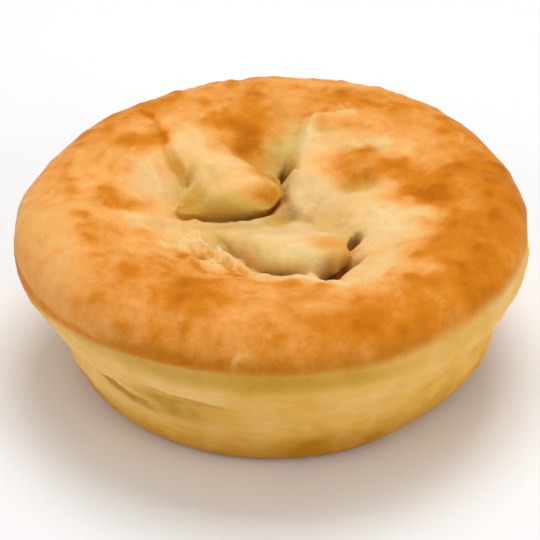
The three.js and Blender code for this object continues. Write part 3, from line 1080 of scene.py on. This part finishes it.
def sculpt_lid(piece, sizes):
    """Shapes the flat sheet into the puffed lid and marks how it baked and where light and shade are painted.
    """
    angle, radius, rise, lean = lid_sheet(piece, sizes)
    degrees = np.degrees(angle) % 360
    x, y, lift, gap, face_shade, floor, shelter = fold_tongues(radius * np.cos(angle), radius * np.sin(angle))
    damp = strongest(x, y, LID_DAMP_AND_SHADE)
    torn, flaky = torn_layers(x, y, floor)
    flake = flakes(x, y) + lip_flake(x, y, rise)
    blister = blisters(x, y, radius)

    from_middle = np.hypot(x - SAG_MIDDLE[0], y - SAG_MIDDLE[1])
    sag = sizes.sag / MM * (1 - eased(from_middle, *SAG_REACH))
    relief = lid_relief(x, y, radius, damp) + lift - sag
    relief += TEAR_RISE * torn * flaky + FLAKE_RISE * flake + blister
    for *where, depth, notch in LID_HOLES:
        hole = hump(x, y, *where)
        relief -= depth * hole * np.maximum(floor, notch)
        # Shade painted in the hole
        gap = np.maximum(gap, hole * np.maximum(shelter, notch))

    swell = relief * eased(rise, sizes.seat_height / MM, sizes.lip_height / MM + 1)
    outline = round_table(degrees, LID_OUTLINE) - groove(degrees, rise)
    out = lean * swell + outline * eased(radius, *TRUE_RING)
    x = x + np.cos(angle) * out
    y = y + np.sin(angle) * out
    z = rise + np.sqrt(1 - lean * lean) * swell
    points = np.column_stack([x, y, z])
    place(piece, points * MM)

    browning = lid_browning_and_shading(x, y, z, degrees, radius, sizes) + BLISTER_BROWNER * blister
    olive_shade = lid_fold_shade(x, y, radius, face_shade, torn, flaky)
    # Torn layers get a painted highlight on their crests and painted shade in their hollows
    mark(piece, "browning", browning - FLAKE_PALER * flake - TEAR_LIGHT_AND_SHADE * torn * flaky)
    mark(piece, "bare", 1 - brown_reach(degrees, z))
    mark(piece, "toast", side_toast(degrees, z, points))
    # Olive shade painted in the lid's folds and under its lip
    mark(piece, "fold", np.maximum(olive_shade, side_shade(degrees, z)))
    mark(piece, "damp", damp)
    # Dark shade painted in the slits, the holes and on the tongues' faces
    mark(piece, "gap", lid_painted_shade(x, y, z, gap, face_shade))


def case_meridian(sizes):
    """The case's profile by distance along it, from the base round the foot and up the side to the rim."""
    turn = np.linspace(0, math.pi / 2 - math.radians(CASE_LEAN), 24)
    lip = sizes.lid_radius / MM
    shoulder = [(lip + out, height) for out, height in CASE_SHOULDER]
    side_radius, side_height = zip(*shoulder, (lip, sizes.rim_height / MM))
    radius = np.concatenate([sizes.base_radius / MM + CASE_FOOT * np.sin(turn), side_radius])
    height = np.concatenate([CASE_FOOT * (1 - np.cos(turn)), side_height])
    run = np.concatenate([[0], np.cumsum(np.hypot(np.diff(radius), np.diff(height)))])
    return run, radius, height


def case_folds(degrees, z, cloth, ragged):
    """How far each spot of the case hangs out over a fold, and how much shade is painted under one."""
    wander = clouds(cloth, *CASE_WANDER)
    hang = np.zeros(z.shape)
    tuck = np.zeros(z.shape)
    for edge, rise, shade, band in CASE_FOLDS:
        turns, heights = zip(*edge)
        first, last = turns[0], turns[-1]
        shows = between(degrees, first, first + FOLD_TAPER, last - FOLD_TAPER, last)
        over = z - np.interp(degrees, turns, heights) - wander
        hang += rise * shows * between(over, *FOLD_HANG)
        tuck += shade * shows * ragged * between(over, *(end - band for end in BAND_FOOT), *BAND_TOP)
    return hang, tuck


def case_relief(degrees, z, cloth):
    """Height of the case's swellings, groove and uneven surface."""
    along, up = LAYER_STRETCH
    layers = clouds(np.column_stack([along * degrees, 0 * z, up * z]), *CASE_LAYERS)
    angle, spread = FLAKED_SIDE
    flaked = 0.5 + bell(around(degrees, angle), spread) * eased(z, *FLAKED_HEIGHTS)
    uneven = clouds(cloth, *CASE_LUMPS) + clouds(cloth, *CASE_GRAIN) + layers * flaked
    relief = uneven * between(z, *CASE_HEIGHTS)
    relief += round_table(degrees, LID_OUTLINE) * eased(z, *CASE_TRUE_HEIGHTS) - groove(degrees, z)
    for *where, rise in CASE_SWELLINGS:
        relief += rise * side_hump(degrees, z, *where)
    return relief


def sculpt_case(piece, sizes):
    """Shapes the open tube into the flared case and marks how it baked and where light and shade are painted.
    """
    points = places(piece)
    angle = np.arctan2(points[:, 1], points[:, 0])
    degrees = np.degrees(angle) % 360
    share = (points[:, 2] - points[:, 2].min()) / np.ptp(points[:, 2])
    run, profile_radius, profile_height = case_meridian(sizes)
    walked = share * run[-1]
    radius = np.interp(walked, run, profile_radius)
    z = np.interp(walked, run, profile_height)
    cloth = np.column_stack([radius * np.cos(angle), radius * np.sin(angle), z])
    ragged = BAND_STRENGTH + clouds(cloth, *CASE_RAGGED)
    hang, tuck = case_folds(degrees, z, cloth, ragged)
    radius = radius + case_relief(degrees, z, cloth) + hang - BAND_DEPTH * tuck
    place(piece, np.column_stack([radius * np.cos(angle), radius * np.sin(angle), z]) * MM)

    middle, spread = SHADED_SIDE
    # Shade painted on a stretch under the second fold
    shaded = bell(around(degrees, middle), spread) * between(z, *SHADED_HEIGHTS) * ragged
    mark(piece, "browning", round_table(degrees, RIM_TONES) + EDGE_BROWNER)
    mark(piece, "bare", 1 - brown_reach(degrees, z))
    # The hanging edges get a painted highlight, the bands and the shaded stretch painted shade
    toast = side_toast(degrees, z, cloth) + HANG_HIGHLIGHT * hang + BAND_SHADE_TOAST * tuck + FOLDED_SHADE_TOAST * shaded
    mark(piece, "toast", toast)
    # Olive shade painted in the bands, on the shaded stretch and under the lip
    mark(piece, "fold", np.maximum.reduce([tuck, shaded, side_shade(degrees, z)]))
    mark(piece, "damp", 0 * z)
    # Dark shade painted in the bands under the folds and on the shaded stretch
    mark(piece, "gap", BAND_SHADE * tuck + FOLDED_SHADE * shaded)


def new_material(name):
    """A node material, and its tree, shader and Object coordinates."""
    material = bpy.data.materials.new(name)
    material.use_nodes = True
    tree = material.node_tree
    shader = tree.nodes["Principled BSDF"]
    where = tree.nodes.new("ShaderNodeTexCoord").outputs["Object"]
    return material, tree, shader, where


def mottle(tree, where, scale, detail, stretch=(1, 1, 1)):
    """Noise of so many lumps a metre, drawn out along the axes by stretch."""
    mapping = tree.nodes.new("ShaderNodeMapping")
    mapping.inputs["Scale"].default_value = stretch
    tree.links.new(where, mapping.inputs["Vector"])
    texture = tree.nodes.new("ShaderNodeTexNoise")
    texture.inputs["Scale"].default_value = scale
    texture.inputs["Detail"].default_value = detail
    tree.links.new(mapping.outputs["Vector"], texture.inputs["Vector"])
    return texture.outputs["Fac"]


def marked(tree, name):
    """A value that was stored on the piece."""
    node = tree.nodes.new("ShaderNodeAttribute")
    node.attribute_name = name
    return node.outputs["Fac"]


def maths(tree, operation, first, second, third=None):
    """A Math node of two or three values, each a socket or a number."""
    node = tree.nodes.new("ShaderNodeMath")
    node.operation = operation
    for socket, value in zip(node.inputs, (first, second, third)):
        if isinstance(value, bpy.types.NodeSocket):
            tree.links.new(value, socket)
        elif value is not None:
            socket.default_value = value
    return node.outputs[0]


def ramp(tree, factor, stops):
    """Colours that follow a factor: pairs of place and display colour."""
    node = tree.nodes.new("ShaderNodeValToRGB")
    elements = node.color_ramp.elements
    while len(elements) < len(stops):
        elements.new(1)
    for element, (at, colour) in zip(elements, stops):
        element.position = at
        element.color = srgb(colour)
    tree.links.new(factor, node.inputs["Fac"])
    return node.outputs["Color"]


def blend(tree, factor, first, second, mode="MIX"):
    """Mixes a colour socket with a second socket or display colour."""
    node = tree.nodes.new("ShaderNodeMix")
    node.data_type = "RGBA"
    node.blend_type = mode
    tree.links.new(factor, node.inputs["Factor"])
    tree.links.new(first, node.inputs["A"])
    if isinstance(second, bpy.types.NodeSocket):
        tree.links.new(second, node.inputs["B"])
    else:
        node.inputs["B"].default_value = srgb(second)
    return node.outputs["Result"]


def bump(tree, shader, height, distance, strength):
    """Fine relief of the shading."""
    node = tree.nodes.new("ShaderNodeBump")
    node.inputs["Distance"].default_value = distance
    node.inputs["Strength"].default_value = strength
    tree.links.new(height, node.inputs["Height"])
    tree.links.new(node.outputs["Normal"], shader.inputs["Normal"])


def centred(tree, factor, strength, base):
    """Adds a noise's ups and downs to a base value."""
    return maths(tree, "MULTIPLY_ADD", maths(tree, "SUBTRACT", factor, 0.5), strength, base)


def pastry_colours(tree, where, colours):
    """The pastry's colour, from the marks on a piece with their painted light and shade, and how far the
    crust has browned.
    """
    browning = marked(tree, "browning")
    broad = maths(tree, "SUBTRACT", mottle(tree, where, *BROAD_MOTTLE), 0.5)
    broad = maths(tree, "MULTIPLY", broad, maths(tree, "ADD", browning, BROAD_ON_DOUGH))
    browned_and_shaded = maths(tree, "MULTIPLY_ADD", broad, BROAD_STRENGTH, browning)
    for texture, strength in CRUST_MOTTLES:
        browned_and_shaded = centred(tree, mottle(tree, where, *texture), strength, browned_and_shaded)
    crust = ramp(tree, browned_and_shaded, (
        (0.02, colours.dough), (0.25, colours.straw), (0.48, colours.gold), (0.72, colours.amber),
        (1, colours.umber),
    ))
    toasted = marked(tree, "toast")
    for texture, strength in SIDE_MOTTLES:
        toasted = centred(tree, mottle(tree, where, *texture), strength, toasted)
    side = ramp(tree, toasted, (
        (0.05, colours.side_pale), (0.45, colours.side_gold), (0.95, colours.side_brown),
    ))
    # Greyer steamed dough of the middle, with painted shade in its hollows
    crust = blend(tree, marked(tree, "damp"), crust, colours.damp)
    baked = blend(tree, marked(tree, "bare"), crust, side)
    # Olive shade painted in folds, creases and under the lip
    shaded = blend(tree, marked(tree, "fold"), baked, colours.fold, "MULTIPLY")
    # Dark shade painted in the slits and under the case's folds
    return blend(tree, marked(tree, "gap"), shaded, colours.gap), browned_and_shaded


def lid_pastry(colours):
    """Egg-washed puff pastry, a little glossier where it browned and smoother where it stayed damp."""
    material, tree, shader, where = new_material("egg_washed_pastry")
    colour, browned_and_shaded = pastry_colours(tree, where, colours)
    tree.links.new(colour, shader.inputs["Base Color"])
    speckle = mottle(tree, where, *SPECKLE)
    rough = maths(tree, "MULTIPLY_ADD", browned_and_shaded, BROWNED_ROUGHER, CRUST_ROUGHNESS)
    rough = maths(tree, "MULTIPLY_ADD", speckle, SPECKLE_ROUGHER, rough)
    tree.links.new(rough, shader.inputs["Roughness"])
    shader.inputs["Specular IOR Level"].default_value = PASTRY_SPECULAR
    fine = maths(tree, "MULTIPLY_ADD", mottle(tree, where, *CRUST_GRAIN), CRUST_GRAIN_BUMP, speckle)
    calm = maths(tree, "MULTIPLY_ADD", marked(tree, "damp"), DAMP_BUMP, 1)
    bump(tree, shader, maths(tree, "MULTIPLY", fine, calm), *CRUST_BUMP)
    return material


def case_pastry(colours):
    """Matte short pastry that took little colour in its tin."""
    material, tree, shader, where = new_material("short_pastry")
    colour, _ = pastry_colours(tree, where, colours)
    tree.links.new(colour, shader.inputs["Base Color"])
    grain = mottle(tree, where, *SIDE_GRAIN)
    rough = maths(tree, "MULTIPLY_ADD", grain, GRAIN_ROUGHER, SIDE_ROUGHNESS)
    tree.links.new(rough, shader.inputs["Roughness"])
    shader.inputs["Specular IOR Level"].default_value = PASTRY_SPECULAR
    streak = mottle(tree, where, *SIDE_STREAKS)
    bump(tree, shader, maths(tree, "MULTIPLY_ADD", grain, SIDE_GRAIN_BUMP, streak), *SIDE_BUMP)
    return material


def dress(piece, material, node):
    """Gives a piece its finish and lets it stand for a solid of the frame."""
    bpy.ops.object.shade_smooth_by_angle(angle=SMOOTH_ANGLE)
    piece.data.materials.append(material)
    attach(piece, BODY)
    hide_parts(node)


class PIE_OT_lid(bpy.types.Operator):
    """Bakes the puffed lid with its two slit tongues"""

    bl_idname = "pie.lid"
    bl_label = "Pastry lid"

    def execute(self, context):
        sizes = context.scene.pie_sizes
        cells = sizes.lid_cells
        bpy.ops.object.select_all(action="DESELECT")
        bpy.ops.mesh.primitive_grid_add(x_subdivisions=cells, y_subdivisions=cells, size=2)
        piece = new_piece("puffed_lid")
        sculpt_lid(piece, sizes)
        close_rim(piece, sizes.seat_height, SEAT_SHRINK)
        dress(piece, lid_pastry(context.scene.pie_colours), "pastry_lid")
        return {"FINISHED"}


class PIE_OT_case(bpy.types.Operator):
    """Bakes the flared case with its folded band"""

    bl_idname = "pie.case"
    bl_label = "Pastry case"

    def execute(self, context):
        sizes = context.scene.pie_sizes
        bpy.ops.object.select_all(action="DESELECT")
        bpy.ops.mesh.primitive_cylinder_add(
            vertices=sizes.case_sides,
            radius=sizes.base_radius,
            depth=sizes.rim_height,
            end_fill_type="NOTHING",
        )
        piece = new_piece("flared_case")
        bpy.ops.object.mode_set(mode="EDIT")
        bpy.ops.mesh.select_mode(type="EDGE")
        bpy.ops.mesh.select_all(action="DESELECT")
        bpy.ops.object.mode_set(mode="OBJECT")
        vertices = piece.data.vertices
        for edge in piece.data.edges:
            first, second = (vertices[i].co.z for i in edge.vertices)
            edge.select = abs(first - second) > sizes.rim_height / 2
        bpy.ops.object.mode_set(mode="EDIT")
        bpy.ops.mesh.subdivide(number_cuts=sizes.case_rows - 1)
        bpy.ops.object.mode_set(mode="OBJECT")
        sculpt_case(piece, sizes)
        close_rim(piece, 0, BASE_SHRINK)
        close_rim(piece, sizes.rim_height, RIM_SHRINK)
        dress(piece, case_pastry(context.scene.pie_colours), "pastry_case")
        return {"FINISHED"}


def aim(thing, target):
    """Turns a light or the camera to face a point."""
    thing.rotation_euler = (Vector(target) - thing.location).to_track_quat("-Z", "Y").to_euler()


def soft_light(name, place_at, size, watts, colour):
    """A large square light that faces the pie."""
    bpy.ops.object.light_add(type="AREA", location=place_at)
    light = bpy.context.object
    light.name = name
    light.data.shape = "SQUARE"
    light.data.size = size
    light.data.energy = watts
    light.data.color = colour
    aim(light, FACED)


class PIE_OT_stage(bpy.types.Operator):
    """Sets the floor, the soft studio light and the camera"""

    bl_idname = "pie.stage"
    bl_label = "Stage"

    def execute(self, context):
        stage = context.scene.pie_stage
        bpy.ops.object.select_all(action="DESELECT")
        bpy.ops.mesh.primitive_plane_add(size=FLOOR_SIZE)
        floor = new_piece("floor")
        material, tree, shader, where = new_material("pale_floor")
        darker = [part * FLOOR_DARKER for part in stage.floor]
        shade = ramp(tree, mottle(tree, where, *FLOOR_CLOUDS), ((0.3, stage.floor), (0.7, darker)))
        tree.links.new(shade, shader.inputs["Base Color"])
        shader.inputs["Roughness"].default_value = FLOOR_ROUGHNESS
        floor.data.materials.append(material)

        for name, place_at, size, colour in LIGHTS:
            soft_light(name + "_light", place_at, size, getattr(stage, name), colour)
        world = bpy.data.worlds.new("white_room")
        world.use_nodes = True
        background = world.node_tree.nodes["Background"]
        background.inputs["Color"].default_value = (1, 1, 1, 1)
        background.inputs["Strength"].default_value = stage.sky
        context.scene.world = world
        context.scene.view_settings.view_transform = "Standard"

        back = stage.distance * math.cos(stage.elevation)
        up = stage.distance * math.sin(stage.elevation)
        bpy.ops.object.camera_add(location=(FACED[0], FACED[1] - back, FACED[2] + up))
        camera = context.object
        camera.name = "camera"
        camera.data.lens = stage.lens
        camera.data.sensor_width = SENSOR_WIDTH
        camera.data.clip_start = CLIP_START
        aim(camera, FACED)
        context.scene.camera = camera
        return {"FINISHED"}


class PIE_PT_panel(bpy.types.Panel):
    """Lists the pie's pieces, sizes and colours"""

    bl_idname = "PIE_PT_panel"
    bl_label = "Beef and mushroom pie"
    bl_space_type = "VIEW_3D"
    bl_region_type = "UI"
    bl_category = "Pie"

    def draw(self, context):
        for operator in OPERATORS:
            self.layout.operator(operator.bl_idname)
        for name in ("pie_sizes", "pie_colours", "pie_stage"):
            group = getattr(context.scene, name)
            for prop in group.bl_rna.properties:
                if prop.identifier not in ("rna_type", "name"):
                    self.layout.prop(group, prop.identifier)


OPERATORS = (PIE_OT_lid, PIE_OT_case, PIE_OT_stage)
CLASSES = (PieSizes, PieColours, PieStage, *OPERATORS, PIE_PT_panel)


def register():
    for cls in CLASSES:
        bpy.utils.register_class(cls)
    bpy.types.Scene.pie_sizes = PointerProperty(type=PieSizes)
    bpy.types.Scene.pie_colours = PointerProperty(type=PieColours)
    bpy.types.Scene.pie_stage = PointerProperty(type=PieStage)


def unregister():
    del bpy.types.Scene.pie_stage
    del bpy.types.Scene.pie_colours
    del bpy.types.Scene.pie_sizes
    for cls in reversed(CLASSES):
        bpy.utils.unregister_class(cls)


def main():
    register()
    bpy.ops.pie.lid()
    bpy.ops.pie.case()
    bpy.ops.pie.stage()


if __name__ == "__main__":
    main()
